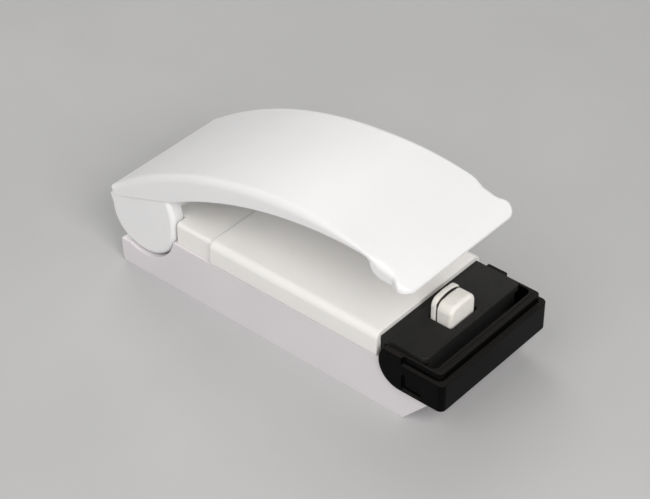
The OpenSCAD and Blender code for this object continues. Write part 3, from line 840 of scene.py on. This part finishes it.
def cheek(x0, x1, node, name, drop, r_rear, r_front):
    """Ceramic block with a crowned top and rounded ends, its top set drop below the CAD's."""
    top = top_of(node) - drop
    y, foot, half, rise, corner = HEATER_Y, 15.0, 4.5, 0.9, 2.3
    r = (half ** 2 + rise ** 2) / (2 * rise)
    spread = math.degrees(math.asin((half - corner) / r))
    crown = arc(y, top - r, r, 90 - spread, 90 + spread, 12)
    shoulder = crown[0][1] - corner + 0.1
    right = arc(y + half - corner, shoulder, corner, 0, 74, 7)
    left = arc(y - half + corner, shoulder, corner, 106, 180, 7)
    outline = [(y - half, foot), (y + half, foot)] + right + crown[1:-1] + left
    obj = prism(outline, x0, x1, r_rear, r_front, SECTION, 5)
    return deliver(obj, name, "heater", CERAMIC, node)


def make_heater():
    cheek(86.1, 90.3, "heater_front_cheek", "heater_front_block", 0.55, 0.35, 0.95)
    cheek(84.3, 85.7, "heater_rear_cheek", "heater_rear_block", 0.05, 0.45, 0.2)


# ---------------------------------------------------------------- springs

def coil(name, centre, r, low, top, turns, wire):
    """Upright coil of round wire, whose radius is wire, with closed end turns."""
    sides, pitch_ends = 10, 0.9
    bm = bmesh.new()
    steps = int(turns * 28)
    path = []
    for i in range(steps + 1):
        t = i / steps
        lap = t * turns
        free = turns - 2 * pitch_ends
        share = min(max((lap - pitch_ends) / free, 0.0), 1.0)
        ends = 2 * wire * (min(lap, pitch_ends) + max(lap - turns + pitch_ends, 0.0))
        height = low + wire + ends + share * (top - low - 2 * wire - 4 * wire * pitch_ends)
        a = 2 * math.pi * lap
        path.append(Vector((centre[0] + r * math.cos(a), centre[1] + r * math.sin(a), height)))
    rings = []
    for i, p in enumerate(path):
        way = (path[min(i + 1, steps)] - path[max(i - 1, 0)]).normalized()
        side = way.cross(Vector((0, 0, 1))).normalized()
        up = side.cross(way)
        rings.append([bm.verts.new(p + wire * (math.cos(b) * side + math.sin(b) * up))
                      for b in (2 * math.pi * k / sides for k in range(sides))])
    for a, b in zip(rings, rings[1:]):
        for k in range(sides):
            bm.faces.new((a[k], a[(k + 1) % sides], b[(k + 1) % sides], b[k]))
    bm.faces.new(rings[0])
    bm.faces.new(rings[-1])
    bmesh.ops.recalc_face_normals(bm, faces=bm.faces)
    return solid(name, bm)


def make_springs():
    """Both coil springs."""
    for name, node, joint, stand, r, turns, wire, kept in (
        ("lever_coil_spring", "lever_spring", "lever_hinge", (SPRING_X, 0.0), 3.1, 7, 0.4, 0.76),
        ("heater_coil_spring", "heater_spring", "heater_press", (87.3, HEATER_Y), 2.4, 4.5, 0.3, 0.81),
    ):
        low = foot_of(node)
        spring = coil(name, stand, r, low, top_of(node), turns, wire)
        deliver(spring, name, "base", STEEL, node)
        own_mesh(spring)


# ---------------------------------------------------------------- stage

# fitted to the photo's straight edges: the camera's place, measured in millimetres as
# the shapes are, and its right and up directions
CAMERA_AT = (293.363, -287.405, 315.990)
CAMERA_RIGHT = Vector((0.761207, 0.648509, 0.000655))
CAMERA_UP = Vector((-0.403220, 0.472500, 0.783682))
CAMERA_LENS, CAMERA_SENSOR = 112.946, 36.0
LAMP_AIM = Vector((0.0, 0.0, 0.02))
# name, place in metres, size in metres, watts, colour
LAMPS = (
    ("front", (0.56, -0.28, 0.50), 0.5, 3.7, (1.0, 0.98, 0.955)),
    ("near", (-0.05, -0.52, 0.56), 0.6, 1.5, (1.0, 0.98, 0.955)),
    ("rear", (-0.42, 0.30, 0.54), 0.4, 1.1, (1.0, 0.98, 0.96)),
)


def make_floor():
    bm = bmesh.new()
    bmesh.ops.create_grid(bm, x_segments=8, y_segments=8, size=2.5)
    floor = solid("floor", bm)
    p = Paint("pale_floor", 0.7)
    p.colour(p.ramp(p.noise(60, 3, 0.5), [(0.3, (0.50, 0.505, 0.51)), (0.7, (0.53, 0.535, 0.54))]))
    p.roughness(p.ramp(p.noise(12, 3, 0.5), [(0.3, 0.62), (0.7, 0.75)]))
    p.bump((p.noise(2, 3, 0.5), 0.05, 0.05))
    floor.data.materials.append(p.material)


def make_lights():
    world = bpy.data.worlds.new("studio")
    world.use_nodes = True
    sky = world.node_tree.nodes["Background"]
    sky.inputs["Color"].default_value = (0.98, 0.965, 0.955, 1)
    sky.inputs["Strength"].default_value = 0.34
    bpy.context.scene.world = world
    for name, at, size, power, colour in LAMPS:
        data = bpy.data.lights.new(name, "AREA")
        data.shape = "DISK"
        data.size = size
        data.energy = power
        data.color = colour
        lamp = bpy.data.objects.new(name, data)
        lamp.location = at
        lamp.rotation_euler = (Vector(at) - LAMP_AIM).to_track_quat("Z", "Y").to_euler()
        bpy.context.scene.collection.objects.link(lamp)


def make_camera():
    data = bpy.data.cameras.new("camera")
    data.lens = CAMERA_LENS
    data.sensor_width = CAMERA_SENSOR
    data.clip_start = 0.01
    data.clip_end = 20.0
    camera = bpy.data.objects.new("camera", data)
    back = CAMERA_RIGHT.cross(CAMERA_UP)
    turn = Matrix((CAMERA_RIGHT, CAMERA_UP, back)).transposed().to_4x4()
    camera.matrix_world = Matrix.Translation(in_frame(*CAMERA_AT)) @ turn
    bpy.context.scene.collection.objects.link(camera)
    bpy.context.scene.camera = camera
    bpy.context.scene.view_settings.view_transform = "Standard"


make_camera()
make_floor()
make_lights()
make_lever()
make_press_pad()
make_top_cover()
make_head_plate()
make_guard()
make_heater()
make_springs()

dress("base_shell", BASE_WHITE, 0.25)
dress("rear_block", COVER_WHITE, 0.25)
dress("battery_door", BASE_WHITE, 0.15)
dress("pad_holder", LEVER_WHITE, 0.15)
dress("head_body", MATTE_BLACK, 0.15)
for node in ("lever_pin", "guard_pins", "housing_screws"):
    dress(node, STEEL, 0.12)
for node in ("negative_contact", "positive_contact", "bridge_contact"):
    dress(node, STEEL)
for node in ("heater_terminals", "switch_moving_leaf", "switch_fixed_leaf"):
    dress(node, BRASS, 0.08)
dress("heater_ribbon", RIBBON)
dress("heater_carrier", RESIN, 0.15)
dress("lead_wires", INSULATION)
for node in ("battery_cell_near", "battery_cell_far"):
    dress(node, SLEEVE, 0.3)
